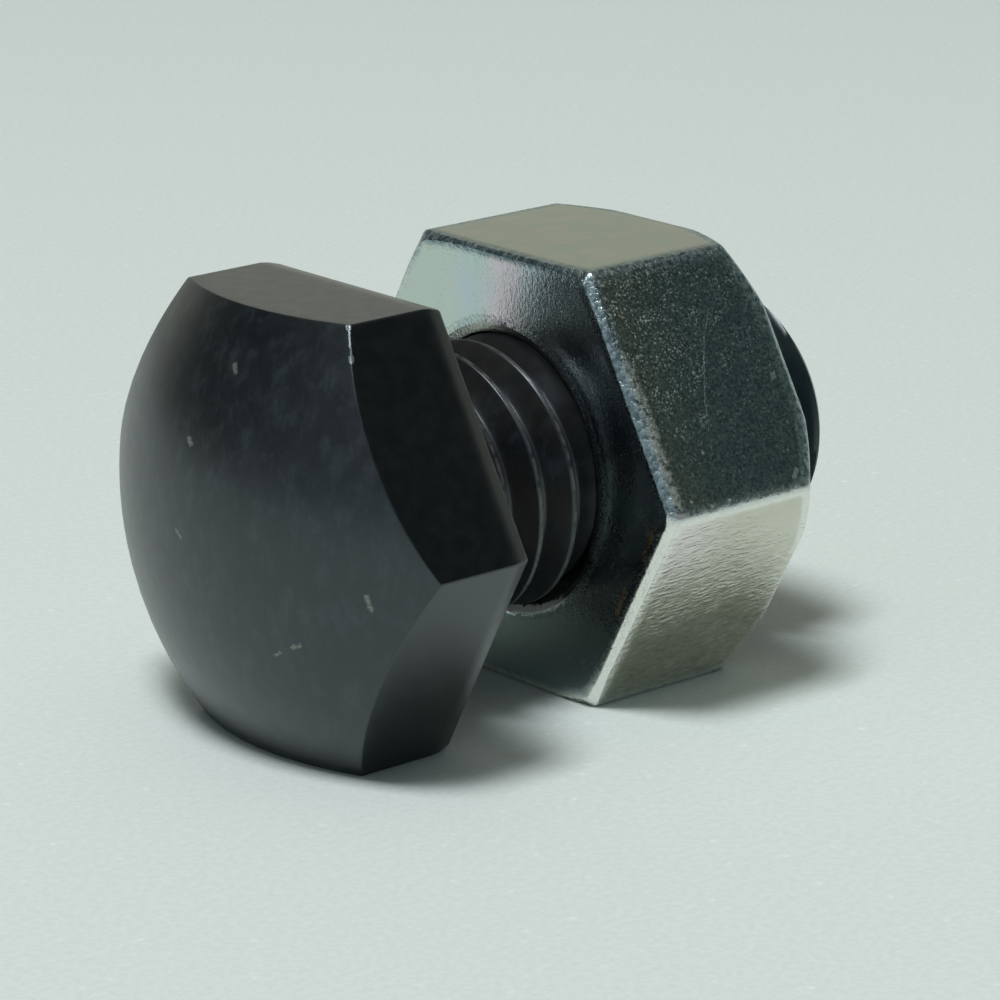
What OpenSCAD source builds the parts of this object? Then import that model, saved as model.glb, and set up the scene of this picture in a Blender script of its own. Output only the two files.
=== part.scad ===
// Locating bolt: hexagon head with a domed locating face, threaded shank and lock nut.
// Millimetres. X runs along the axis from the dome to the thread end, Z is up, both hexagons rest on z = 0.
// Origin: bottom centre of the whole part.

/* [Head] */
// width across flats of the head and of the nut, one spanner size
across_flats = 13; // [11:0.5:16]
// height of the head from the dome's top to the underside
head_height = 6; // [5:0.25:8]
// radius of the spherical locating face
dome_radius = 11.5; // [10:0.5:18]
// length along the axis of the broken edge around the underside
underside_edge_length = 0.55; // [0.3:0.05:0.8]
// how far the broken edge leans in at the underside, measured on a flat
underside_edge_inset = 0.15; // [0.05:0.05:0.4]

/* [Shank] */
// outer diameter of the thread
thread_diameter = 8; // [6:0.5:9]
// distance along the axis from one thread turn to the next
thread_pitch = 1.25; // [1:0.05:1.5]
// how far inside the head the thread's first root begins
thread_root_inset = 2.06; // [1.9:0.01:2.4]
// length from the underside of the head to the thread end
shank_length = 14.6; // [14:0.2:25]
// length under the head over which the thread runs out in a cone
run_out_length = 0.65; // [0.5:0.05:0.8]
// how far the cone stands out past the thread at the underside of the head
run_out_width = 0.25; // [0.2:0.01:0.3]
// width of the 45 degree chamfer at the thread end
end_chamfer = 0.55; // [0.2:0.05:0.9]

/* [Nut] */
// height of the nut
nut_height = 6.1; // [4:0.1:7]
// distance from the underside of the head to the nut
nut_gap = 5.15; // [2:0.05:6]
// radial running clearance between the thread and the nut
running_clearance = 0.05; // [0.02:0.01:0.1]
// radial width of the countersink at each end of the nut's bore
countersink_width = 0.27; // [0.15:0.01:0.4]
// included angle of the countersinks
countersink_angle = 120; // [90:5:130]
// radius of the circle left by the corner chamfer on the nut's back face, as a share of the corner radius
back_circle_share = 0.875; // [0.84:0.005:0.95]
// slope of the back corner chamfer, measured from the face
back_chamfer_angle = 43; // [20:1:50]
// radius of the circle left by the corner chamfer on the nut's front face, as a share of the corner radius
front_circle_share = 0.955; // [0.9:0.005:0.98]
// slope of the front corner chamfer, measured from the face
front_chamfer_angle = 30; // [15:1:45]

/* [Hidden] */
$fn = 90;
HEX = 6;
HEX_TURN = 30;
// overshoot that keeps cutting faces off the faces they cut
over = 0.5;
half_flats = across_flats / 2;
corner_radius = half_flats / cos(180 / HEX);
total_length = head_height + shank_length;
// metric thread form: angle between the flanks, crest and root widths as shares of the pitch
THREAD_ANGLE = 60;
CREST_SHARE = 1 / 8;
ROOT_SHARE = 1 / 6;
FLANK_SHARE = (1 - CREST_SHARE - ROOT_SHARE) / 2;
// flat facets in one turn of the thread
TURN_STEPS = 30;
thread_radius = thread_diameter / 2;
root_radius = thread_radius - thread_pitch * FLANK_SHARE / tan(THREAD_ANGLE / 2);
// corners of one thread turn: radius and share of the pitch
thread_outline = [
  [root_radius, 0],
  [root_radius, ROOT_SHARE],
  [thread_radius, ROOT_SHARE + FLANK_SHARE],
  [thread_radius, ROOT_SHARE + FLANK_SHARE + CREST_SHARE]
];
thread_corners = len(thread_outline);
last_corner = thread_corners - 1;
thread_start = head_height - thread_root_inset;
thread_turns = ceil((total_length - thread_start) / thread_pitch) + 1;
thread_steps = thread_turns * TURN_STEPS;
bore_radius = thread_radius + running_clearance;
countersink_depth = countersink_width / tan(countersink_angle / 2);
mouth_radius = bore_radius + countersink_width + over * tan(countersink_angle / 2);
underside_radius = corner_radius - underside_edge_inset / cos(180 / HEX);
lean_radius = underside_radius + (corner_radius - underside_radius) * head_height / underside_edge_length;
nut_front = head_height + nut_gap;
back_circle = corner_radius * back_circle_share;
back_drop = (corner_radius - back_circle) * tan(back_chamfer_angle);
front_circle = corner_radius * front_circle_share;
front_drop = (corner_radius - front_circle) * tan(front_chamfer_angle);
BLACK = [0.09, 0.095, 0.1];
ZINC = [0.62, 0.64, 0.62];

// lays the axis along X, dome end at -X, hexagon flat on the floor
module lay() {
  translate([-total_length / 2, 0, half_flats])
    rotate([0, 90, 0])
      rotate([0, 0, HEX_TURN])
        children();
}

// leaning hexagon that breaks the edge around the underside
module underside_edge() {
  cylinder(r1 = lean_radius, r2 = underside_radius, h = head_height, $fn = HEX);
}

module head() {
  intersection() {
    cylinder(r = corner_radius, h = head_height, $fn = HEX);
    underside_edge();
    translate([0, 0, dome_radius])
      sphere(r = dome_radius);
  }
}

// height of a thread corner along the axis
function thread_height(step, corner) =
  thread_start + thread_pitch * (step / TURN_STEPS + thread_outline[corner].y);

function thread_point(step, corner) = [
  thread_outline[corner].x * cos(360 * step / TURN_STEPS),
  thread_outline[corner].x * sin(360 * step / TURN_STEPS),
  thread_height(step, corner)
];

// number of a thread point; the corner past the last one is the first corner of the next turn
function thread_index(step, corner) =
  corner < thread_corners ? step * thread_corners + corner : thread_index(step + TURN_STEPS, 0);

// two triangles between neighbouring steps and corners
function thread_patch(step, corner) =
  let (
    low = thread_index(step, corner),
    high = thread_index(step, corner + 1),
    next_low = thread_index(step + 1, corner),
    next_high = thread_index(step + 1, corner + 1)
  ) [[low, high, next_high], [low, next_high, next_low]];

// triangles from a closed loop of points to one point on the axis
function fan(loop, centre) =
  [for (i = [0 : len(loop) - 1]) [loop[i], loop[(i + 1) % len(loop)], centre]];

// right-handed thread: its outline swept along the helix and closed on the axis at both ends
module thread() {
  first_loop = concat(
    [for (step = [0 : TURN_STEPS]) thread_index(step, 0)],
    [for (corner = [last_corner : -1 : 1]) thread_index(0, corner)]
  );
  last_loop = concat(
    [for (corner = [0 : last_corner]) thread_index(thread_steps, corner)],
    [for (step = [thread_steps - 1 : -1 : thread_steps - TURN_STEPS]) thread_index(step, last_corner)]
  );
  first_centre = thread_index(thread_steps + 1, 0);
  polyhedron(
    points = concat(
      [for (step = [0 : thread_steps], corner = [0 : last_corner]) thread_point(step, corner)],
      [[0, 0, thread_height(TURN_STEPS / 2, 0)], [0, 0, thread_height(thread_steps, 1)]]
    ),
    faces = concat(
      [for (corner = [0 : last_corner - 1], step = [0 : thread_steps - 1]) each thread_patch(step, corner)],
      [for (step = [0 : thread_steps - TURN_STEPS - 1]) each thread_patch(step, last_corner)],
      fan(first_loop, first_centre),
      fan(last_loop, first_centre + 1)
    )
  );
}

// turned outline that cuts the thread to length and chamfers its end, well clear of the crests elsewhere
module shank_outline() {
  rotate_extrude()
    polygon([
      [0, 0],
      [thread_radius + over, 0],
      [thread_radius + over, total_length - end_chamfer - over],
      [thread_radius - end_chamfer, total_length],
      [0, total_length]
    ]);
}

// cone that fills the thread's groove under the head, rooted inside the head
module run_out() {
  rotate_extrude()
    polygon([
      [0, head_height - over],
      [thread_radius + run_out_width, head_height - over],
      [thread_radius + run_out_width, head_height],
      [root_radius - run_out_width, head_height + run_out_length],
      [0, head_height + run_out_length]
    ]);
}

module shank() {
  run_out();
  intersection() {
    thread();
    shank_outline();
  }
}

module bolt() {
  color(BLACK)
    lay() {
      head();
      shank();
    }
}

// turned outline that takes the corners off both faces of the nut
module nut_corner_outline() {
  rotate_extrude()
    polygon([
      [0, 0],
      [front_circle, 0],
      [corner_radius, front_drop],
      [corner_radius, nut_height - back_drop],
      [back_circle, nut_height],
      [0, nut_height]
    ]);
}

module nut_blank() {
  intersection() {
    cylinder(r = corner_radius, h = nut_height, $fn = HEX);
    nut_corner_outline();
  }
}

// bore and both countersinks in one turned outline that runs past the nut's faces
module nut_bore() {
  rotate_extrude()
    polygon([
      [0, -over],
      [mouth_radius, -over],
      [bore_radius, countersink_depth],
      [bore_radius, nut_height - countersink_depth],
      [mouth_radius, nut_height + over],
      [0, nut_height + over]
    ]);
}

module nut() {
  color(ZINC)
    lay()
      translate([0, 0, nut_front])
        difference() {
          nut_blank();
          nut_bore();
        }
}

bolt();
nut();
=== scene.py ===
"""Locating bolt with its lock nut: detailed meshes, materials, floor, light and camera.

Sizes are in millimetres until mesh_object() turns them into metres.
"""
import math

import bmesh
import bpy
import numpy as np
from mathutils import Matrix, Vector


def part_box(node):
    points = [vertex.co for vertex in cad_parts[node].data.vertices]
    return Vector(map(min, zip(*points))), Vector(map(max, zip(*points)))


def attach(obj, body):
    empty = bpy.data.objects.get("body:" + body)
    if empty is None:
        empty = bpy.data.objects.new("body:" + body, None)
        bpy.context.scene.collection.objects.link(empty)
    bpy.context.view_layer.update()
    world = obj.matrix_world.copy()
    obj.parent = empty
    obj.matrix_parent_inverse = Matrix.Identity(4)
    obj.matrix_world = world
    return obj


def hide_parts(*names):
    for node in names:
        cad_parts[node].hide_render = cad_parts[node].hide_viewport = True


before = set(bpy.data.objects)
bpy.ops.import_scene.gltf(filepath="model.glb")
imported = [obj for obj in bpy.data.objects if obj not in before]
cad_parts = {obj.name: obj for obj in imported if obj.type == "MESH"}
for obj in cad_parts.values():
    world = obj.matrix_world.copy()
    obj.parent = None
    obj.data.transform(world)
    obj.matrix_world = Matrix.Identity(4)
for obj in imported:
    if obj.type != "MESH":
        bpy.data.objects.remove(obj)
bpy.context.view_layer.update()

MM = 0.001
TURN = 2 * math.pi
SECTOR = math.radians(60)
HALF_SECTOR = math.radians(30)

# Sizes of the part's source
HALF_FLATS = 6.5
HEAD_HEIGHT = 6.0
DOME_RADIUS = 11.5
UNDERSIDE_EDGE_LENGTH = 0.55
UNDERSIDE_EDGE_INSET = 0.15
THREAD_RADIUS = 4.0
PITCH = 1.25
THREAD_ROOT_INSET = 2.06
RUN_OUT_LENGTH = 0.65
RUN_OUT_WIDTH = 0.25
END_CHAMFER = 0.55
RUNNING_CLEARANCE = 0.05
COUNTERSINK_WIDTH = 0.27
COUNTERSINK_ANGLE = math.radians(120)
CORNER_RADIUS = HALF_FLATS / math.cos(HALF_SECTOR)
BACK_CIRCLE = 0.875 * CORNER_RADIUS
BACK_CHAMFER_ANGLE = math.radians(43)
FRONT_CIRCLE = 0.955 * CORNER_RADIUS
FRONT_CHAMFER_ANGLE = math.radians(30)

# Places along the axis, read from the CAD nodes
BOLT_LOW, BOLT_HIGH = (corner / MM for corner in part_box("bolt"))
NUT_LOW, NUT_HIGH = (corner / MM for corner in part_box("nut"))
AXIS_HEIGHT = (BOLT_LOW.z + BOLT_HIGH.z) / 2
DOME_TOP = BOLT_LOW.x
UNDERSIDE = DOME_TOP + HEAD_HEIGHT
THREAD_END = BOLT_HIGH.x
NUT_FRONT, NUT_BACK = NUT_LOW.x, NUT_HIGH.x
MOUTH_RADIUS = THREAD_RADIUS + RUNNING_CLEARANCE + COUNTERSINK_WIDTH

# Metric thread, right-handed: widths as shares of the pitch, root rounded between 60 degree flanks
FLANK_ANGLE = math.radians(30)
CREST_SHARE = 1 / 8
ROOT_SHARE = 1 / 6
FLANK_SHARE = (1 - CREST_SHARE - ROOT_SHARE) / 2
THREAD_DEPTH = FLANK_SHARE * PITCH / math.tan(FLANK_ANGLE)
ROOT_ROUNDING = PITCH / 6 * math.cos(FLANK_ANGLE)
ROOT_ARC = ROOT_ROUNDING * math.cos(FLANK_ANGLE)
CREST_SOFTNESS = 0.025
NUT_THREAD_DEPTH = 0.5413 * PITCH
THREAD_GAP = 0.035
TURN_STEPS = 120
# the thread's first root begins a sixth of a turn from the +Y side
FIRST_CREST_TURN = ROOT_SHARE + FLANK_SHARE + CREST_SHARE / 2 + 1 / 6
CREST_START = UNDERSIDE - THREAD_ROOT_INSET + PITCH * FIRST_CREST_TURN

# Edge roundings, broken edges and wear of the real pieces
HEAD_CORNER_ROUNDING = 0.1
HEAD_RIM_ROUNDING = 0.09
HEAD_SHOULDER_ROUNDING = 1.6
HEAD_FOOT_ROUNDING = 0.14
NUT_CORNER_ROUNDING = 0.24
NUT_FRONT_ROUNDING = 0.08
NUT_EDGE_WIDTH = 0.1
NUT_EDGE_WEAR = 0.12
NUT_CORNER_WEAR = 0.16
NUT_EDGE_ANGLE = math.radians(42)
NUT_BACK_ROUNDING = 0.26
HEAD_WEAR_REACH = 0.13
NUT_WEAR_REACH = 0.25
END_HOLLOW = 0.05

# Mesh settings: how far the thread starts inside the head, smallest edge kept, smallest angle shaded sharp
THREAD_OVERLAP = 0.3
WELD = 0.0001
SHARP_ANGLE = math.radians(50)


# Mesh tools
def mesh_object(name, points, faces, edge_wear, body, node, slot, material):
    """Mesh object from points in mm, riding on a body and standing for a CAD node."""
    mesh = bpy.data.meshes.new(name)
    mesh.from_pydata((np.asarray(points) * MM).tolist(), [], faces)
    attribute = mesh.attributes.new("edge_wear", "FLOAT", "POINT")
    attribute.data.foreach_set("value", np.asarray(edge_wear, dtype=np.float32))
    clean_mesh(mesh)
    mesh.shade_smooth()
    mesh.set_sharp_from_angle(angle=SHARP_ANGLE)
    mesh.materials.append(material)
    obj = bpy.data.objects.new(name, mesh)
    bpy.context.scene.collection.objects.link(obj)
    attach(obj, body)
    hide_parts(node)
    return obj


def clean_mesh(mesh):
    """Welds points that coincide and drops faces without area and points without faces."""
    work = bmesh.new()
    work.from_mesh(mesh)
    bmesh.ops.remove_doubles(work, verts=work.verts, dist=WELD * MM)
    bmesh.ops.dissolve_degenerate(work, edges=work.edges, dist=WELD * MM)
    loose = [vert for vert in work.verts if not vert.link_faces]
    bmesh.ops.delete(work, geom=loose, context="VERTS")
    work.to_mesh(mesh)
    work.free()
    mesh.validate()


def around(x, radius, angle):
    """Points at a distance from the axis; the angle runs from +Y towards +Z."""
    x, radius, angle = np.broadcast_arrays(x, radius, angle)
    return np.stack([x, radius * np.cos(angle), AXIS_HEIGHT + radius * np.sin(angle)], axis=-1)


def ring_faces(rows, columns, first, flip=False):
    """Quads between closed rings of points that are stored row by row."""
    faces = []
    for row in range(rows - 1):
        for column in range(columns):
            a = first + row * columns + column
            b = first + row * columns + (column + 1) % columns
            quad = (a, b, b + columns, a + columns)
            faces.append(quad[::-1] if flip else quad)
    return faces


def corner_turn(half_flats, rounding):
    """Angle from a hexagon's corner to the end of its rounding."""
    return HALF_SECTOR - math.atan((half_flats - rounding) * math.tan(HALF_SECTOR) / half_flats)


def angle_from_corner(angle):
    """Angle to the nearest corner of a hexagon with corners at 0, 60, 120 ... degrees."""
    return np.abs((angle + HALF_SECTOR) % SECTOR - HALF_SECTOR)


def hexagon_radius(angle, half_flats, rounding):
    """Distance from the axis to a hexagon with rounded corners."""
    from_corner = angle_from_corner(angle)
    straight = half_flats / np.cos(HALF_SECTOR - from_corner)
    centre = (half_flats - rounding) / math.cos(HALF_SECTOR)
    inside = np.maximum(rounding**2 - (centre * np.sin(from_corner)) ** 2, 0)
    rounded = centre * np.cos(from_corner) + np.sqrt(inside)
    return np.where(from_corner < corner_turn(half_flats, rounding), rounded, straight)


def hexagon_angles(half_flats, rounding, steps=15):
    """Angles around a hexagon, close together at its corners."""
    turn = corner_turn(half_flats, rounding)
    near = np.linspace(0, turn, 5)
    far = turn * (HALF_SECTOR / turn) ** np.linspace(0, 1, steps)[1:]
    half = np.concatenate([near, far])
    sector = np.concatenate([half, SECTOR - half[-2:0:-1]])
    return np.concatenate([sector + k * SECTOR for k in range(6)])


def fillet(corner, way_in, way_out, radius, count):
    """Points of the arc that rounds a corner between two unit directions."""
    corner, way_in, way_out = (np.asarray(v, float) for v in (corner, way_in, way_out))
    turn = math.atan2(way_in[0] * way_out[1] - way_in[1] * way_out[0], float(way_in @ way_out))
    start = corner - way_in * radius * math.tan(abs(turn) / 2)
    side = np.array([-way_in[1], way_in[0]]) * math.copysign(1, turn)
    centre = start + side * radius
    arm = start - centre
    points = []
    for step in np.linspace(0, turn, count):
        c, s = math.cos(step), math.sin(step)
        points.append(centre + np.array([c * arm[0] - s * arm[1], s * arm[0] + c * arm[1]]))
    return points


def between(start, end, count):
    """Points strictly between two points."""
    start, end = np.asarray(start), np.asarray(end)
    return [start + (end - start) * k / (count + 1) for k in range(1, count + 1)]


# Thread
def thread_phases():
    """Phases of one pitch: 0 in the middle of the root, 0.5 on the crest, close together on both."""
    root = np.linspace(0, ROOT_ARC / PITCH, 6)
    crest = np.linspace(0.5 - 0.7 * CREST_SHARE, 0.5, 7)
    flank = np.linspace(root[-1], crest[0], 6)[1:-1]
    half = np.concatenate([root, flank, crest])
    return np.concatenate([half, 1 - half[-2:0:-1]])


def thread_radius(phase):
    """Radius of the bolt's thread: rounded root, straight flanks, slightly softened crest."""
    from_root = np.abs((phase + 0.5) % 1 - 0.5) * PITCH
    arc = ROOT_ROUNDING - np.sqrt(np.maximum(ROOT_ROUNDING**2 - from_root**2, 0))
    flank_foot = ROOT_ROUNDING * (1 - math.sin(FLANK_ANGLE))
    flank = flank_foot + (from_root - ROOT_ARC) / math.tan(FLANK_ANGLE)
    below = THREAD_DEPTH - np.where(from_root < ROOT_ARC, arc, flank)
    return THREAD_RADIUS - (below + np.sqrt(below**2 + CREST_SOFTNESS**2)) / 2


def thread_tube(start, end, outer, limit, inside=False):
    """Helical grid of points and faces from start to end; limit(x, radius) shapes its ends."""
    phases = thread_phases()
    count = len(phases)
    turns = int((end - start) / PITCH) + 3
    first = CREST_START - PITCH / 2 + PITCH * math.floor((start - CREST_START) / PITCH - 1)
    angles = np.arange(turns * TURN_STEPS + 1) * TURN / TURN_STEPS
    helix = first + PITCH * (angles[:, None] / TURN + phases[None, :])
    x = np.clip(helix, start, end)
    outside = (helix <= start) | (helix >= end)
    phase = phases[None, :] + (x - helix) / PITCH
    full = outer(phase)
    radius = limit(x, full)
    points = around(x, radius, angles[:, None]).reshape(-1, 3)
    crest = np.exp(-((phase % 1 - 0.5) / (0.4 * CREST_SHARE)) ** 4) * (np.abs(radius - full) < WELD)
    faces = []
    for i in range(len(angles) - 1):
        for k in range(count):
            a, b = i * count + k, (i + 1) * count + k
            if k + 1 < count:
                c, d = b + 1, a + 1
            elif i + 1 + TURN_STEPS < len(angles):
                c, d = (i + 1 + TURN_STEPS) * count, (i + TURN_STEPS) * count
            else:
                continue
            if not all(outside.flat[corner] for corner in (a, b, c, d)):
                faces.append((a, b, c, d) if inside else (d, c, b, a))
    return points, faces, crest.reshape(-1)


# Bolt
def dome_x(radius):
    """Place along the axis of the spherical face at a distance from the axis."""
    return DOME_TOP + DOME_RADIUS - np.sqrt(DOME_RADIUS**2 - np.asarray(radius) ** 2)


def head_profile(flats_radius, underside_radius):
    """Half outline of the head at one angle, dome to shank, and its count of dome points."""
    slope = flats_radius / math.sqrt(DOME_RADIUS**2 - flats_radius**2)
    dome_way = np.array([1, slope]) / math.hypot(1, slope)
    flat_way = np.array([0.0, 1.0])
    edge = np.array([flats_radius, UNDERSIDE - UNDERSIDE_EDGE_LENGTH])
    under = np.array([underside_radius, UNDERSIDE])
    lean_way = (under - edge) / np.linalg.norm(under - edge)
    rim = fillet((flats_radius, float(dome_x(flats_radius))), dome_way, flat_way, HEAD_RIM_ROUNDING, 7)
    shoulder = fillet(edge, flat_way, lean_way, HEAD_SHOULDER_ROUNDING, 6)
    foot = fillet(under, lean_way, (-1, 0), HEAD_FOOT_ROUNDING, 6)
    radii = np.linspace(0, 1, 50)[1:-1] ** 0.9 * rim[0][0]
    dome = [np.array([radius, float(dome_x(radius))]) for radius in radii]
    flat = between(rim[-1], shoulder[0], 12)
    lean = between(shoulder[-1], foot[0], 3)
    inner = np.array([THREAD_RADIUS - THREAD_DEPTH - RUN_OUT_WIDTH, UNDERSIDE])
    under_face = between(foot[-1], inner, 6) + [inner]
    return np.array(dome + rim + flat + shoulder + lean + foot + under_face), len(dome)


def shank_limit(x, radius):
    """Radius of the shank with the cone under the head and the chamfer at the end."""
    run_out_drop = (THREAD_DEPTH + 2 * RUN_OUT_WIDTH) / RUN_OUT_LENGTH
    run_out = THREAD_RADIUS + RUN_OUT_WIDTH - (x - UNDERSIDE) * run_out_drop
    run_out = np.minimum(run_out, THREAD_RADIUS + RUN_OUT_WIDTH)
    chamfer = THREAD_RADIUS - END_CHAMFER + (THREAD_END - x)
    return np.minimum(np.maximum(radius, run_out), chamfer)


def head_mesh():
    """Points, faces and edge wear of the head."""
    angles = hexagon_angles(HALF_FLATS, HEAD_CORNER_ROUNDING)
    flats = hexagon_radius(angles, HALF_FLATS, HEAD_CORNER_ROUNDING)
    unders = hexagon_radius(angles, HALF_FLATS - UNDERSIDE_EDGE_INSET, HEAD_CORNER_ROUNDING)
    profiles = [head_profile(flat, under) for flat, under in zip(flats, unders)]
    grid = np.stack([points for points, _ in profiles], axis=1)
    dome_rows = profiles[0][1]
    rows, columns = grid.shape[:2]
    rings = around(grid[..., 1], grid[..., 0], angles[None, :]).reshape(-1, 3)
    points = np.concatenate([around(DOME_TOP, 0.0, 0.0).reshape(1, 3), rings])
    faces = [(0, 1 + (column + 1) % columns, 1 + column) for column in range(columns)]
    faces += ring_faces(rows, columns, 1, flip=True)

    from_rim = np.hypot(grid[..., 0] - flats, grid[..., 1] - dome_x(flats))
    from_foot = np.hypot(grid[..., 0] - unders, grid[..., 1] - UNDERSIDE)
    beside = grid[..., 0] * angle_from_corner(angles)
    row = np.arange(rows)[:, None]
    on_flats = (row >= dome_rows) & (grid[..., 1] < UNDERSIDE - HEAD_FOOT_ROUNDING)
    from_corner = np.where(on_flats, beside, CORNER_RADIUS)
    nearest = np.minimum(np.minimum(from_rim, from_foot), from_corner)
    wear = np.exp(-((nearest / HEAD_WEAR_REACH) ** 2)).reshape(-1)
    return points, faces, np.concatenate([np.zeros(1), wear])


def thread_end_mesh():
    """Points, faces and edge wear of the slightly hollow end face."""
    angles = np.linspace(0, TURN, TURN_STEPS, endpoint=False)
    phase = (THREAD_END - CREST_START) / PITCH + 0.5 - angles / TURN
    radius = shank_limit(THREAD_END, thread_radius(phase))
    hollow_edge = 0.8
    rings = []
    for share in (1.0, hollow_edge, 0.5, 0.2):
        dip = END_HOLLOW * max(0, hollow_edge - share)
        rings.append(around(THREAD_END - dip, radius * share, angles))
    bottom = around(THREAD_END - END_HOLLOW * hollow_edge, 0.0, 0.0).reshape(1, 3)
    points = np.concatenate(rings + [bottom])
    faces = ring_faces(len(rings), TURN_STEPS, 0)
    last = (len(rings) - 1) * TURN_STEPS
    centre = len(rings) * TURN_STEPS
    faces += [(last + k, last + (k + 1) % TURN_STEPS, centre) for k in range(TURN_STEPS)]
    return points, faces, np.zeros(len(points))


def joined(*meshes):
    """One list of points, faces and edge wear from several."""
    points, faces, wear = [], [], []
    count = 0
    for part_points, part_faces, part_wear in meshes:
        points.append(part_points)
        wear.append(part_wear)
        faces += [tuple(count + corner for corner in face) for face in part_faces]
        count += len(part_points)
    return np.concatenate(points), faces, np.concatenate(wear)


def bolt_mesh():
    """Points, faces and edge wear of the head, the threaded shank and its end."""
    shank = thread_tube(UNDERSIDE - THREAD_OVERLAP, THREAD_END, thread_radius, shank_limit)
    return joined(head_mesh(), shank, thread_end_mesh())


# Nut
def rounded_half(lines, rounding, turns):
    """Points of a convex outline of (unit normal, offset) lines, its corners rounded."""
    shrunk = [(np.asarray(normal, float), offset - rounding) for normal, offset in lines]
    corners = []
    for i, (n1, o1) in enumerate(shrunk):
        for n2, o2 in shrunk[i + 1:]:
            det = n1[0] * n2[1] - n1[1] * n2[0]
            point = np.array([o1 * n2[1] - o2 * n1[1], n1[0] * o2 - n2[0] * o1]) / det
            if all(normal @ point <= offset + WELD for normal, offset in shrunk):
                corners.append(point)
    corners = np.array(corners)
    points = []
    for turn in turns:
        normal = np.array([math.cos(turn), math.sin(turn)])
        points.append(corners[np.argmax(corners @ normal)] + rounding * normal)
    return points


def chamfer_line(circle, face, angle, side):
    """Line of a corner chamfer: side is -1 on the front face and 1 on the back face."""
    normal = np.array([math.sin(angle), side * math.cos(angle)])
    return normal, float(normal @ np.array([circle, face]))


def edge_width(angle):
    """Width on the front face of the nut's broken edge, larger on the worn -Y side and at four corners."""
    share = np.clip((-np.cos(angle) - 0.3) / 0.55, 0, 1)
    worn_side = share**2 * (3 - 2 * share)
    at_corner = np.exp(-((CORNER_RADIUS * angle_from_corner(angle) / 0.8) ** 2)) * np.abs(np.sin(angle))
    return NUT_EDGE_WIDTH + NUT_EDGE_WEAR * worn_side + NUT_CORNER_WEAR * at_corner


def nut_profile(flats_radius, broken_edge):
    """Half outline of the nut at one angle, from its front mouth to its back mouth."""
    tiny = 1e-4
    flat = (np.array([1.0, 0.0]), flats_radius)
    front = (np.array([0.0, -1.0]), -NUT_FRONT)
    back = (np.array([0.0, 1.0]), NUT_BACK)
    front_chamfer = chamfer_line(FRONT_CIRCLE, NUT_FRONT, FRONT_CHAMFER_ANGLE, -1)
    front_edge = chamfer_line(flats_radius - broken_edge, NUT_FRONT, NUT_EDGE_ANGLE, -1)
    back_chamfer = chamfer_line(BACK_CIRCLE, NUT_BACK, BACK_CHAMFER_ANGLE, 1)
    front_turn = FRONT_CHAMFER_ANGLE - math.pi / 2
    edge_turn = NUT_EDGE_ANGLE - math.pi / 2
    back_turn = math.pi / 2 - BACK_CHAMFER_ANGLE
    front_turns = np.linspace(-math.pi / 2 + tiny, front_turn - tiny, 5)
    edge_turns = np.linspace(front_turn + tiny, edge_turn - tiny, 4)
    side_turns = np.linspace(edge_turn + tiny, -tiny, 6)
    rear_turns = np.linspace(tiny, back_turn - tiny, 7)
    back_turns = np.linspace(back_turn + tiny, math.pi / 2 - tiny, 7)
    near_front = np.concatenate([front_turns, edge_turns, side_turns])
    near_back = np.concatenate([rear_turns, back_turns])
    first = rounded_half([front, front_chamfer, front_edge, flat], NUT_FRONT_ROUNDING, near_front)
    second = rounded_half([flat, back_chamfer, back], NUT_BACK_ROUNDING, near_back)
    start, end = np.array([MOUTH_RADIUS, NUT_FRONT]), np.array([MOUTH_RADIUS, NUT_BACK])
    front_face = [start] + between(start, first[0], 9)
    side = between(first[-1], second[0], 16)
    back_face = between(second[-1], end, 7) + [end]
    return np.array(front_face + first + side + second + back_face)


def nut_blank_mesh():
    """Points, faces and edge wear of the nut's outside."""
    angles = hexagon_angles(HALF_FLATS, NUT_CORNER_ROUNDING)
    flats = hexagon_radius(angles, HALF_FLATS, NUT_CORNER_ROUNDING)
    widths = edge_width(angles)
    profiles = [nut_profile(flat, width) for flat, width in zip(flats, widths)]
    grid = np.stack(profiles, axis=1)
    rows, columns = grid.shape[:2]
    points = around(grid[..., 1], grid[..., 0], angles[None, :]).reshape(-1, 3)
    from_side = np.maximum(flats - grid[..., 0], 0)
    from_front = np.hypot(from_side, grid[..., 1] - NUT_FRONT)
    back_edge = NUT_BACK - np.maximum(flats - BACK_CIRCLE, 0) * math.tan(BACK_CHAMFER_ANGLE)
    from_back = np.hypot(from_side, grid[..., 1] - back_edge)
    from_corner = np.hypot(grid[..., 0] * angle_from_corner(angles), from_side)
    front_reach = 0.06 + 1.15 * widths
    front_wear = np.exp(-((from_front / front_reach) ** 4))
    other_wear = np.exp(-((np.minimum(from_corner, from_back) / NUT_WEAR_REACH) ** 2))
    wear = np.maximum(front_wear, other_wear)
    return points, ring_faces(rows, columns, 0, flip=True), wear.reshape(-1)


def nut_limit(x, radius):
    """Radius of the nut's bore with a countersink at each end."""
    depth = np.minimum(x - NUT_FRONT, NUT_BACK - x)
    countersink = MOUTH_RADIUS - depth * math.tan(COUNTERSINK_ANGLE / 2)
    return np.minimum(np.maximum(radius, countersink), MOUTH_RADIUS)


def nut_thread_radius(phases):
    """Radius of the nut's thread, a small gap outside the bolt's."""
    return np.maximum(thread_radius(phases), THREAD_RADIUS - NUT_THREAD_DEPTH) + THREAD_GAP


def nut_mesh():
    """Points, faces and edge wear of the nut with its threaded bore."""
    points, faces, crest = thread_tube(NUT_FRONT, NUT_BACK, nut_thread_radius, nut_limit, inside=True)
    return joined(nut_blank_mesh(), (points, faces, np.zeros(len(crest))))


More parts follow.
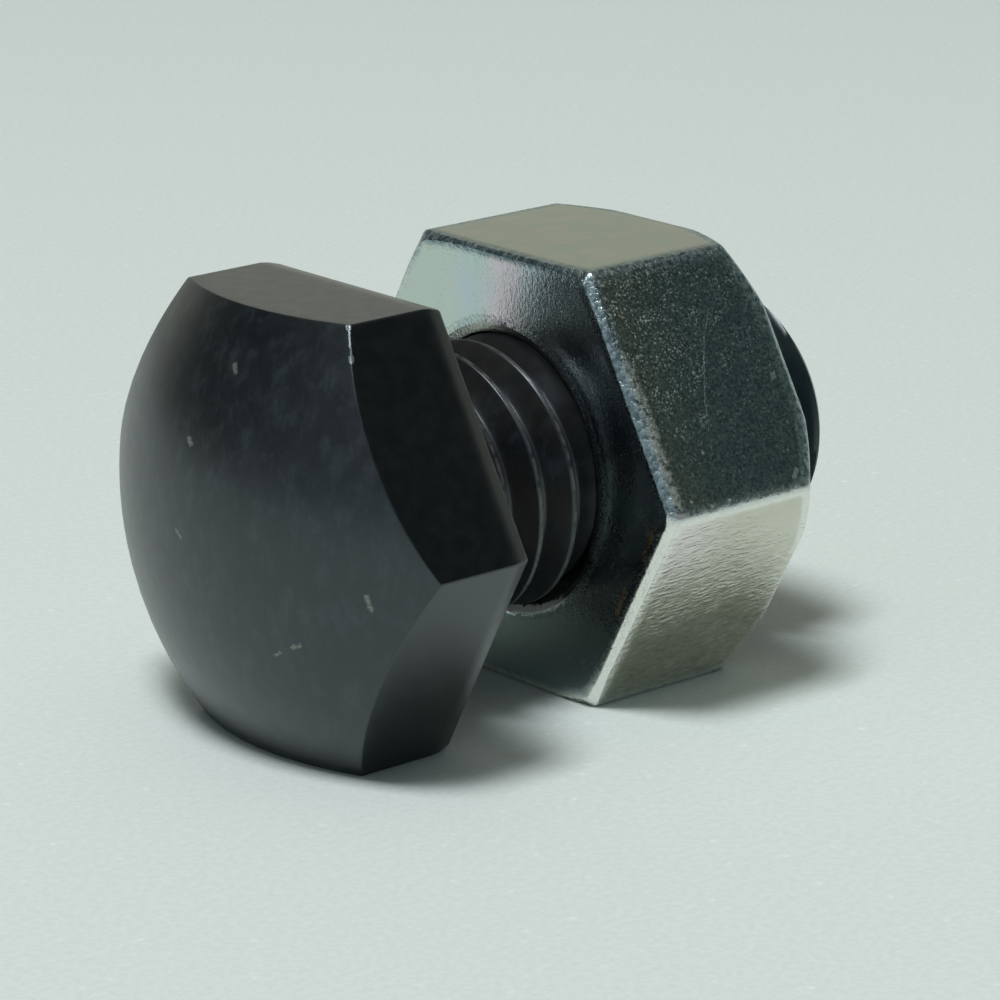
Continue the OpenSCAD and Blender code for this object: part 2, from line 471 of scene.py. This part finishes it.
# Materials
class Tree:
    """Short way to add and link shader nodes; places and sizes are in mm."""

    def __init__(self, tree):
        self.tree = tree
        tree.nodes.clear()

    def set(self, socket, value):
        if isinstance(value, bpy.types.NodeSocket):
            self.tree.links.new(value, socket)
        else:
            socket.default_value = value

    def add(self, kind, inputs=None, **settings):
        node = self.tree.nodes.new(kind)
        for key, value in settings.items():
            setattr(node, key, value)
        for key, value in (inputs or {}).items():
            self.set(node.inputs[key], value)
        return node

    def math(self, operation, a, b=0.0):
        return self.add("ShaderNodeMath", {0: a, 1: b}, operation=operation).outputs[0]

    def vector(self, operation, a, b=(0.0, 0.0, 0.0)):
        return self.add("ShaderNodeVectorMath", {0: a, 1: b}, operation=operation)

    def dot(self, a, b):
        return self.vector("DOT_PRODUCT", a, b).outputs["Value"]

    def times(self, *values):
        product = values[0]
        for value in values[1:]:
            product = self.math("MULTIPLY", product, value)
        return product

    def total(self, *values):
        result = values[0]
        for value in values[1:]:
            result = self.math("ADD", result, value)
        return result

    def most(self, *values):
        result = values[0]
        for value in values[1:]:
            result = self.math("MAXIMUM", result, value)
        return result

    def place_and_normal(self):
        """Place on the surface in mm and its normal, both along the object's own axes."""
        coordinates = self.add("ShaderNodeTexCoord")
        place = self.vector("DIVIDE", coordinates.outputs["Object"], (MM, MM, MM)).outputs[0]
        return place, coordinates.outputs["Normal"]

    def edge_wear(self):
        return self.add("ShaderNodeAttribute", attribute_name="edge_wear").outputs["Fac"]

    def noise(self, place, size, detail=3.0, roughness=0.55, stretch=None):
        """Noise of 0 to 1 with features about size wide, longer where stretch is above 1."""
        if stretch:
            place = self.vector("DIVIDE", place, stretch).outputs[0]
        inputs = {"Vector": place, "Scale": 1 / size, "Detail": detail, "Roughness": roughness}
        return self.add("ShaderNodeTexNoise", inputs).outputs["Fac"]

    def spread(self, noise, reach):
        """Noise centred on 0 and scaled, to make a border ragged."""
        return self.times(self.math("SUBTRACT", noise, 0.5), reach)

    def dots(self, place, spacing, size, share):
        """Round dots of random strength in a share of random cells; size is a share of the spacing."""
        cell = self.add("ShaderNodeTexVoronoi", {"Vector": place, "Scale": 1 / spacing}, feature="F1")
        chance = self.add("ShaderNodeSeparateColor", {"Color": cell.outputs["Color"]}).outputs["Red"]
        dot = self.ramp(cell.outputs["Distance"], size, size * 0.3)
        return self.times(dot, self.ramp(chance, 1 - share, 1.0))

    def uneven(self, place, size, reach):
        """Place shifted by noise, so that marks drawn on it get irregular outlines."""
        inputs = {"Vector": place, "Scale": 1 / size, "Detail": 3.0}
        shift = self.add("ShaderNodeTexNoise", inputs).outputs["Color"]
        shift = self.vector("SUBTRACT", shift, (0.5, 0.5, 0.5)).outputs[0]
        shift = self.vector("MULTIPLY", shift, (reach, reach, reach)).outputs[0]
        return self.vector("ADD", place, shift).outputs[0]

    def ramp(self, value, low, high, start=0.0, end=1.0):
        """Smooth step from start at low to end at high."""
        inputs = {"Value": value, "From Min": low, "From Max": high, "To Min": start, "To Max": end}
        return self.add("ShaderNodeMapRange", inputs, interpolation_type="SMOOTHSTEP").outputs[0]

    def mix(self, share, a, b):
        node = self.add("ShaderNodeMix", data_type="RGBA")
        for index, value in ((0, share), (6, a), (7, b)):
            self.set(node.inputs[index], value)
        return node.outputs[2]

    def stroke(self, place, start, end, width):
        """1 on a straight mark between two points, 0 away from it."""
        start, end = Vector(start), Vector(end)
        way = end - start
        away = self.vector("SUBTRACT", place, start).outputs[0]
        along = self.add("ShaderNodeClamp", {"Value": self.dot(away, way / way.length_squared)}).outputs[0]
        foot = self.add("ShaderNodeVectorMath", {0: way, "Scale": along}, operation="SCALE").outputs[0]
        off = self.vector("DISTANCE", away, foot).outputs["Value"]
        return self.ramp(off, width, 0.35 * width)

    def strokes(self, place, marks):
        return self.most(*[self.stroke(place, *mark) for mark in marks])

    def bump(self, height, strength, distance):
        inputs = {"Height": height, "Strength": strength, "Distance": distance * MM}
        return self.add("ShaderNodeBump", inputs).outputs[0]

    def surface(self, inputs):
        """Ends the tree with one shader."""
        shader = self.add("ShaderNodeBsdfPrincipled", inputs)
        self.add("ShaderNodeOutputMaterial", {"Surface": shader.outputs[0]})


def new_material(name):
    material = bpy.data.materials.new(name)
    material.use_nodes = True
    return material, Tree(material.node_tree)


# Marks seen on the surfaces: two ends and half width, in mm
DOME_NICKS = (
    ((-9.12, -0.58, 11.56), (-9.15, -0.70, 11.40), 0.13),
    ((-9.93, 0.58, 9.36), (-9.95, 0.46, 9.24), 0.12),
    ((-10.26, 0.90, 6.73), (-10.28, 0.67, 6.57), 0.07),
    ((-8.73, -5.78, 6.02), (-8.66, -5.86, 5.66), 0.11),
    ((-9.64, -2.74, 3.81), (-9.60, -2.95, 3.92), 0.08),
    ((-9.52, -3.40, 4.16), (-9.47, -3.68, 4.30), 0.09),
)
# Worn spots on the head's rim; the thin stroke between them is a painted highlight along the edge
WORN_RIM_AND_HIGHLIGHT = (
    ((-7.54, -3.72, 12.98), (-7.56, -3.76, 12.92), 0.10),
    ((-7.54, -3.72, 12.98), (-7.87, -4.27, 12.14), 0.035),
    ((-7.83, -4.20, 12.25), (-7.86, -4.25, 12.17), 0.11),
)
NUT_SCRATCHES = (
    ((4.78, -4.62, 11.50), (4.19, -5.06, 10.74), 0.022),
    ((4.19, -5.06, 10.74), (3.82, -5.47, 10.03), 0.028),
    ((3.82, -5.47, 10.03), (3.46, -5.91, 9.27), 0.024),
    ((3.46, -5.91, 9.27), (3.21, -6.34, 8.52), 0.020),
)
NUT_SPOTS = (
    ((6.20, -5.79, 9.47), (6.21, -5.80, 9.45), 0.13),
    ((5.62, -7.30, 6.86), (5.82, -7.21, 7.00), 0.10),
)
NUT_STAIN = (
    ((0.88, -6.62, 6.15), (0.88, -6.14, 5.15), 0.17),
    ((0.88, -5.38, 4.05), (0.88, -5.02, 3.20), 0.14),
)

# Colours of the black oxide
OXIDE_DARK = (0.0026, 0.0033, 0.0042, 1)
OXIDE_PALE = (0.0048, 0.0058, 0.0070, 1)
OXIDE_CLOUD = (0.021, 0.026, 0.031, 1)
OXIDE_TEAL = (0.004, 0.013, 0.016, 1)
OXIDE_BROWN = (0.014, 0.009, 0.006, 1)
OXIDE_SHEEN = (0.86, 0.96, 1.0, 1)
CREST_GREY = (0.30, 0.31, 0.32, 1)
NICK_TONE = (0.46, 0.45, 0.40, 1)
# Bare steel of the worn rim, also the colour of its painted highlight
RIM_WEAR_AND_HIGHLIGHT_TONE = (0.40, 0.47, 0.51, 1)

# Colours of the zinc plating, some of them painted light or shade
FACE_TEAL = (0.50, 0.64, 0.63, 1)
FACE_BLUE = (0.52, 0.63, 0.72, 1)
FACE_PINK = (0.68, 0.61, 0.70, 1)
FACE_GREEN = (0.56, 0.66, 0.59, 1)
# Painted shade for the lower part of the end faces
FACE_PAINTED_SHADE = (0.48, 0.59, 0.58, 1)
FLAT_DARK = (0.61, 0.60, 0.51, 1)
FLAT_PALE = (0.68, 0.67, 0.58, 1)
FLAT_BLUSH = (0.82, 0.77, 0.76, 1)
TOP_GREEN = (0.34, 0.43, 0.36, 1)
TOP_GREY = (0.43, 0.43, 0.38, 1)
SCALE_DARK = (0.175, 0.285, 0.31, 1)
SCALE_PALE = (0.46, 0.60, 0.59, 1)
WARM_SCALE_DARK = (0.31, 0.34, 0.265, 1)
WARM_SCALE_PALE = (0.67, 0.67, 0.53, 1)
# Pale tones for the specks, where they are painted glints, and for the scratches and spots
GLINT_AND_MARK_COOL = (0.50, 0.62, 0.60, 1)
GLINT_AND_MARK_WARM = (0.62, 0.61, 0.50, 1)
# Painted highlight and painted shade for the ripples of the lower flat
RIPPLE_PAINTED_HIGHLIGHT = (0.95, 0.94, 0.84, 1)
RIPPLE_PAINTED_SHADE = (0.36, 0.36, 0.29, 1)
EDGE_DARK = (0.15, 0.23, 0.27, 1)
EDGE_PALE = (0.42, 0.55, 0.58, 1)
EDGE_FAR = (0.66, 0.74, 0.72, 1)
# Nearly white lower edges: a painted reflection of the lit floor
EDGE_LOW_PAINTED_REFLECTION = (0.90, 0.90, 0.85, 1)
GRIME_TONE = (0.17, 0.155, 0.13, 1)
RUST_TONE = (0.62, 0.34, 0.14, 1)
# Painted shade inside the nut's bore
BORE_PAINTED_SHADE = (0.10, 0.11, 0.11, 1)
MOUTH_TONE = (0.88, 0.88, 0.83, 1)


def black_steel():
    """Black oxide: near-black satin with a bluish sheen, mottled, with faint nicks, a worn rim carrying a
    painted highlight, and a brown thread.
    """
    material, t = new_material("black_steel")
    place, normal = t.place_and_normal()
    wear = t.edge_wear()
    along = t.add("ShaderNodeSeparateXYZ", {"Vector": place}).outputs["X"]
    fine = t.noise(place, 0.06, 3.0, 0.6)
    mottle = t.noise(place, 0.45)
    broad = t.noise(place, 3.0)
    dome = t.ramp(t.dot(normal, (-1.0, 0.0, 0.0)), 0.70, 0.80)
    cloud = t.noise(place, 0.55, 6.0, 0.68, stretch=(1.0, 1.0, 1.7))
    nicks = t.strokes(t.uneven(place, 0.16, 0.18), DOME_NICKS)
    nicks = t.times(nicks, t.ramp(fine, 0.30, 0.60), 0.45)
    worn_rim_and_highlight = t.times(t.strokes(t.uneven(place, 0.16, 0.08), WORN_RIM_AND_HIGHLIGHT), 0.55)
    bare = t.most(nicks, worn_rim_and_highlight)
    shank = t.ramp(along, UNDERSIDE - THREAD_OVERLAP, UNDERSIDE + 0.1)
    tail = t.ramp(along, NUT_FRONT, NUT_BACK)
    crest = t.times(shank, t.ramp(wear, 0.3, 0.9), t.ramp(t.noise(place, 0.3), 0.30, 0.65))
    brown = t.times(t.ramp(broad, 0.42, 0.65), t.total(0.12, t.times(shank, 0.6)))
    brown = t.times(brown, t.ramp(tail, 0.0, 1.0, 1.0, 0.1))

    tone = t.mix(t.ramp(mottle, 0.3, 0.7), OXIDE_DARK, OXIDE_PALE)
    tone = t.mix(t.times(dome, t.ramp(cloud, 0.45, 0.75)), tone, OXIDE_CLOUD)
    tone = t.mix(t.times(tail, 0.8), tone, OXIDE_TEAL)
    tone = t.mix(brown, tone, OXIDE_BROWN)
    tone = t.mix(t.times(crest, 0.4), tone, CREST_GREY)
    tone = t.mix(nicks, tone, NICK_TONE)
    tone = t.mix(worn_rim_and_highlight, tone, RIM_WEAR_AND_HIGHLIGHT_TONE)
    metal = t.most(bare, t.times(crest, 0.5))
    roughness = t.total(t.ramp(mottle, 0.25, 0.75, 0.285, 0.325), t.times(bare, 0.12))
    roughness = t.total(roughness, t.times(shank, 0.06), t.times(crest, -0.06))

    height = t.total(t.times(fine, 0.6), mottle, t.times(bare, -3.0))
    inputs = {"Base Color": tone, "Metallic": metal, "Roughness": roughness}
    inputs |= {"Normal": t.bump(height, 0.5, 0.008), "IOR": 1.74, "Specular Tint": OXIDE_SHEEN}
    t.surface(inputs)
    return material


def zinc_steel():
    """Bright zinc plating: pastel ends, speckled and rippled flats, lumpy edges, a pitted bore rim; some
    tones are painted light.
    """
    material, t = new_material("zinc_steel")
    place, normal = t.place_and_normal()
    wear = t.edge_wear()
    split = t.add("ShaderNodeSeparateXYZ", {"Vector": place})
    along, across, level = split.outputs["X"], split.outputs["Y"], split.outputs["Z"]
    off_axis = t.vector("SUBTRACT", place, (0.0, 0.0, AXIS_HEIGHT)).outputs[0]
    off_axis = t.vector("MULTIPLY", off_axis, (0.0, 1.0, 1.0)).outputs[0]
    radius = t.vector("LENGTH", off_axis).outputs["Value"]
    flat_y, flat_z = -math.cos(HALF_SECTOR), math.sin(HALF_SECTOR)
    end_face = t.ramp(t.math("ABSOLUTE", t.dot(normal, (1.0, 0.0, 0.0))), 0.80, 0.97)
    top_flat = t.ramp(t.dot(normal, (0.0, 0.0, 1.0)), 0.90, 0.98)
    upper_flat = t.ramp(t.dot(normal, (0.0, flat_y, flat_z)), 0.90, 0.98)
    lower_flat = t.ramp(t.dot(normal, (0.0, flat_y, -flat_z)), 0.90, 0.98)

    fine = t.noise(place, 0.05, 3.0, 0.7)
    grain = t.noise(place, 0.16, 4.0, 0.65)
    lumps = t.noise(place, 0.19, 3.0, 0.6)
    cloud = t.noise(place, 1.4, 4.0, 0.6)
    patch = t.noise(place, 2.6, 2.0, 0.45)
    streak = t.noise(place, 0.12, 3.0, 0.6, stretch=(1.0, 1.0, 4.0))
    sheen = t.noise(place, 0.4, 4.0, 0.6, stretch=(3.0, 1.0, 1.0))
    ripple = t.noise(t.uneven(place, 0.6, 0.25), 0.10, 2.0, 0.5, stretch=(3.8, 1.0, 1.0))
    rippled = t.times(t.ramp(cloud, 0.30, 0.58, 0.6, 1.0), t.total(t.times(lower_flat, 0.85), 0.15))
    scales = t.ramp(t.noise(t.uneven(place, 0.3, 0.2), 0.10, 3.0, 0.65), 0.35, 0.66)

    rim_place = t.total(radius, t.spread(grain, 0.4))
    rim = t.times(t.ramp(rim_place, MOUTH_RADIUS + 0.28, MOUTH_RADIUS + 0.10), end_face)
    # Painted shade: the threaded bore is darkened as a recess
    bore = t.ramp(radius, THREAD_RADIUS + 0.16, THREAD_RADIUS + 0.04)
    mouth_place = t.total(radius, t.spread(grain, 0.30))
    low_mouth = t.ramp(mouth_place, MOUTH_RADIUS - 0.20, MOUTH_RADIUS - 0.14)
    low_mouth = t.times(low_mouth, t.ramp(mouth_place, MOUTH_RADIUS + 0.10, MOUTH_RADIUS + 0.02))
    low_mouth = t.times(low_mouth, t.ramp(level, 3.4, 2.6))
    edge = t.times(wear, t.ramp(lumps, 0.30, 0.70, 0.3, 1.0))

    higher = t.ramp(level, AXIS_HEIGHT, 11.5, 0.35, 1.0)
    nearer = t.ramp(along, NUT_BACK, NUT_FRONT, 0.5, 1.3)
    clumps = t.ramp(t.noise(place, 0.5, 3.0, 0.6), 0.35, 0.62, 0.35, 1.1)
    # Pale specks painted as glints, denser higher up and towards the front; they also roughen the surface
    glint_pattern = t.times(t.ramp(t.noise(place, 0.06, 1.5, 0.5), 0.54, 0.68), 0.8)
    glint_pattern = t.times(t.most(glint_pattern, t.dots(place, 0.14, 0.42, 0.5)), clumps)
    glint_specks = t.times(glint_pattern, t.total(t.times(upper_flat, higher, nearer), t.times(end_face, 0.55), 0.08))
    dots = t.times(t.dots(place, 0.34, 0.24, 0.14), t.total(t.times(upper_flat, 0.5), 0.4))
    glint_specks = t.most(glint_specks, dots)
    haze = t.ramp(t.total(along, t.spread(cloud, 1.6)), NUT_FRONT + 3.0, NUT_FRONT + 0.2)
    haze = t.times(haze, upper_flat)
    grime = t.ramp(t.total(along, t.spread(grain, 0.25)), NUT_FRONT + 0.80, NUT_FRONT + 0.25)
    grime = t.times(grime, upper_flat, t.ramp(level, 11.6, 10.0), t.ramp(lumps, 0.25, 0.65, 0.15, 0.8))
    scratches = t.strokes(t.uneven(place, 0.12, 0.08), NUT_SCRATCHES)
    scratches = t.times(scratches, t.ramp(fine, 0.35, 0.6), 0.45)
    spots = t.times(t.strokes(t.uneven(place, 0.12, 0.14), NUT_SPOTS), 0.6)
    marks = t.most(scratches, spots)
    stain = t.times(t.strokes(t.uneven(place, 0.5, 0.5), NUT_STAIN), t.ramp(grain, 0.35, 0.60))

    wobble = t.total(across, t.spread(cloud, 1.8))
    pink = t.times(t.ramp(wobble, 1.2, 0.2), t.ramp(wobble, -1.6, -0.6), end_face)
    pink = t.times(pink, t.ramp(level, 6.0, 9.0))
    green = t.times(t.ramp(wobble, 1.4, 2.6), end_face)
    pastel = t.mix(t.ramp(patch, 0.35, 0.52), FACE_TEAL, FACE_BLUE)
    pastel = t.mix(pink, pastel, FACE_PINK)
    pastel = t.mix(t.times(green, 0.8), pastel, FACE_GREEN)
    olive = t.mix(t.ramp(cloud, 0.3, 0.7), FLAT_DARK, FLAT_PALE)
    blush = t.times(lower_flat, t.ramp(along, NUT_FRONT + 3.2, NUT_FRONT + 0.6))
    olive = t.mix(t.times(blush, t.ramp(level, 3.0, 5.4), 0.8), olive, FLAT_BLUSH)
    top_tone = t.mix(t.ramp(sheen, 0.35, 0.65), TOP_GREEN, TOP_GREY)
    olive = t.mix(t.times(top_flat, 0.85), olive, top_tone)
    scaly = t.mix(scales, SCALE_DARK, SCALE_PALE)
    scaly = t.mix(t.times(haze, 0.65), scaly, t.mix(scales, WARM_SCALE_DARK, WARM_SCALE_PALE))
    # Painted light on the lower flat's ripples, low down: paler ridges are painted highlights, darker
    # hollows are painted shade
    painted_ripple_light = t.times(lower_flat, t.ramp(level, 5.2, 3.6))
    # Painted shade: the end faces turn darker towards the bottom, standing in for the shaded floor they
    # reflect
    painted_low_face_shade = t.times(end_face, t.ramp(level, 7.5, 4.5))
    worn_edge_and_reflection_tone = t.mix(t.ramp(lumps, 0.36, 0.62), EDGE_DARK, EDGE_PALE)
    worn_edge_and_reflection_tone = t.mix(t.ramp(across, 3.6, 4.6), worn_edge_and_reflection_tone, EDGE_FAR)
    # Worn edges; below the nut's middle they turn nearly white, a painted reflection of the lit floor
    worn_edge_and_reflection_tone = t.mix(t.ramp(level, 6.9, 6.2), worn_edge_and_reflection_tone, EDGE_LOW_PAINTED_REFLECTION)
    glint_and_mark_tone = t.mix(t.ramp(patch, 0.42, 0.60), GLINT_AND_MARK_COOL, GLINT_AND_MARK_WARM)

    tone = t.mix(t.times(end_face, 0.8), olive, pastel)
    tone = t.mix(upper_flat, tone, scaly)
    tone = t.mix(t.times(painted_ripple_light, t.ramp(ripple, 0.52, 0.70), 0.5), tone, RIPPLE_PAINTED_HIGHLIGHT)
    tone = t.mix(t.times(painted_ripple_light, t.ramp(ripple, 0.48, 0.30), 0.5), tone, RIPPLE_PAINTED_SHADE)
    tone = t.mix(t.times(painted_low_face_shade, 0.7), tone, FACE_PAINTED_SHADE)
    tone = t.mix(t.ramp(wear, 0.15, 0.65, 0.0, 0.85), tone, worn_edge_and_reflection_tone)
    tone = t.mix(grime, tone, GRIME_TONE)
    tone = t.mix(t.times(t.most(glint_specks, marks), 0.8), tone, glint_and_mark_tone)
    tone = t.mix(t.times(stain, 0.9), tone, RUST_TONE)
    tone = t.mix(t.times(bore, 0.8), tone, BORE_PAINTED_SHADE)
    tone = t.mix(low_mouth, tone, MOUTH_TONE)

    satin = t.most(upper_flat, top_flat)
    smooth = t.total(t.ramp(cloud, 0.3, 0.7, 0.16, 0.22), t.times(end_face, -0.06))
    roughness = t.total(t.times(smooth, t.ramp(satin, 0.0, 1.0, 1.0, 0.0)), t.times(satin, 0.30))
    roughness = t.total(roughness, t.times(glint_specks, 0.32), t.times(edge, 0.16), t.times(marks, 0.30))
    roughness = t.total(roughness, t.times(rim, 0.06), t.times(stain, 0.2), t.times(low_mouth, 0.3))
    metal = t.ramp(t.most(low_mouth, grime), 0.1, 0.8, 1.0, 0.0)

    pitted = t.total(0.25, t.times(wear, 0.8), t.times(rim, 1.6), t.times(top_flat, 0.25))
    height = t.total(t.times(fine, 0.10), t.times(grain, pitted), t.times(marks, -0.4))
    height = t.total(height, t.times(lumps, wear, 2.6))
    height = t.total(height, t.times(ripple, rippled, 1.8), t.times(streak, end_face, 0.2))
    height = t.total(height, t.times(lumps, end_face, 0.25))
    inputs = {"Base Color": tone, "Metallic": metal, "Roughness": roughness}
    t.surface(inputs | {"Normal": t.bump(height, 0.8, 0.02)})
    return material


# Colours of the floor
FLOOR_DARK = (0.735, 0.810, 0.780, 1)
FLOOR_PALE = (0.800, 0.877, 0.851, 1)
FLOOR_CLOUD = (0.765, 0.826, 0.796, 1)
FLOOR_SPARKLE = (0.92, 0.96, 0.94, 1)


def floor_material():
    """Pale card with a fine sparkling grain."""
    material, t = new_material("pale_floor")
    place = t.place_and_normal()[0]
    grain = t.noise(place, 0.22, 3.0, 0.65)
    cloud = t.noise(place, 5.0, 2.0)
    tone = t.mix(t.ramp(grain, 0.30, 0.70), FLOOR_DARK, FLOOR_PALE)
    tone = t.mix(t.times(cloud, 0.25), tone, FLOOR_CLOUD)
    tone = t.mix(t.times(t.dots(place, 0.7, 0.22, 0.45), 0.6), tone, FLOOR_SPARKLE)
    t.surface({"Base Color": tone, "Roughness": 0.75, "Normal": t.bump(grain, 0.4, 0.03)})
    return material


# Floor, light and camera
FLOOR_REACH = 700
FLOOR_SIDES = 64
KEY_PLACE = (-224, -91, 700)
KEY_SIZE = 200
KEY_POWER = 3.7
KEY_COLOUR = (0.97, 1.0, 1.02)
ROOM_TONE = (0.045, 0.058, 0.064, 1)
DARK_SIDE_WAY = (0.6, -0.8, 0.0)
DARK_SIDE_TONE = (0.020, 0.033, 0.034, 1)
WINDOW_WAY = (-0.9, -0.43, 0.0)
WINDOW_TONE = (0.20, 0.24, 0.27, 1)
CEILING_TONE = (0.37, 0.34, 0.28, 1)
WALL_WAY = (0.8, 0.6, 0.0)
WALL_TONE = (0.62, 0.64, 0.55, 1)
LENS = 158.1
SENSOR = 36.0
CLIP_START = 5
CAMERA_PLACE = (-77.278, -95.462, 42.715)
CAMERA_RIGHT = (0.77128, -0.63629, -0.01636)
CAMERA_UP = (0.19582, 0.21275, 0.95728)
CAMERA_BACK = (-0.60563, -0.74154, 0.28869)


def make_floor():
    angles = np.linspace(0, TURN, FLOOR_SIDES, endpoint=False)
    reach = FLOOR_REACH * MM
    ring = [(reach * math.cos(angle), reach * math.sin(angle), 0.0) for angle in angles]
    mesh = bpy.data.meshes.new("floor")
    mesh.from_pydata(ring, [], [tuple(range(FLOOR_SIDES))])
    mesh.materials.append(floor_material())
    floor = bpy.data.objects.new("floor", mesh)
    bpy.context.scene.collection.objects.link(floor)


def make_key_light():
    """Square soft light from the upper left that faces the part."""
    data = bpy.data.lights.new("key", "AREA")
    data.size = KEY_SIZE * MM
    data.energy = KEY_POWER
    data.color = KEY_COLOUR
    lamp = bpy.data.objects.new("key", data)
    lamp.location = Vector(KEY_PLACE) * MM
    facing = Vector((0, 0, AXIS_HEIGHT)) - Vector(KEY_PLACE)
    lamp.rotation_euler = facing.to_track_quat("-Z", "Y").to_euler()
    bpy.context.scene.collection.objects.link(lamp)


def make_world():
    """Dim room: a warm pale wall low at the right and behind, bluish light from the left, a warm ceiling."""
    world = bpy.data.worlds.new("room")
    world.use_nodes = True
    t = Tree(world.node_tree)
    way = t.add("ShaderNodeTexCoord").outputs["Generated"]
    height = t.add("ShaderNodeSeparateXYZ", {"Vector": way}).outputs["Z"]
    wall = t.times(t.ramp(t.dot(way, WALL_WAY), 0.20, 0.80), t.ramp(height, 0.50, 0.30))
    window = t.ramp(t.dot(way, WINDOW_WAY), 0.10, 0.95)
    dark_side = t.ramp(t.dot(way, DARK_SIDE_WAY), 0.20, 0.70)
    ceiling = t.ramp(height, 0.70, 0.92)
    tone = t.mix(dark_side, ROOM_TONE, DARK_SIDE_TONE)
    tone = t.mix(window, tone, WINDOW_TONE)
    tone = t.mix(ceiling, tone, CEILING_TONE)
    tone = t.mix(wall, tone, WALL_TONE)
    background = t.add("ShaderNodeBackground", {"Color": tone, "Strength": 1.0})
    t.add("ShaderNodeOutputWorld", {"Surface": background.outputs[0]})
    bpy.context.scene.world = world


def make_camera():
    """Camera at the photograph's place, with a long lens."""
    data = bpy.data.cameras.new("camera")
    data.sensor_width = SENSOR
    data.lens = LENS
    data.clip_start = CLIP_START * MM
    camera = bpy.data.objects.new("camera", data)
    axes = Matrix([CAMERA_RIGHT, CAMERA_UP, CAMERA_BACK]).transposed()
    camera.matrix_world = Matrix.Translation(Vector(CAMERA_PLACE) * MM) @ axes.to_4x4()
    bpy.context.scene.collection.objects.link(camera)
    bpy.context.scene.camera = camera


mesh_object("bolt_black", *bolt_mesh(), "bolt", "bolt", "black_steel", black_steel())
mesh_object("nut_zinc", *nut_mesh(), "nut", "nut", "zinc_steel", zinc_steel())
make_floor()
make_key_light()
make_world()
make_camera()
bpy.context.scene.view_settings.view_transform = "Standard"
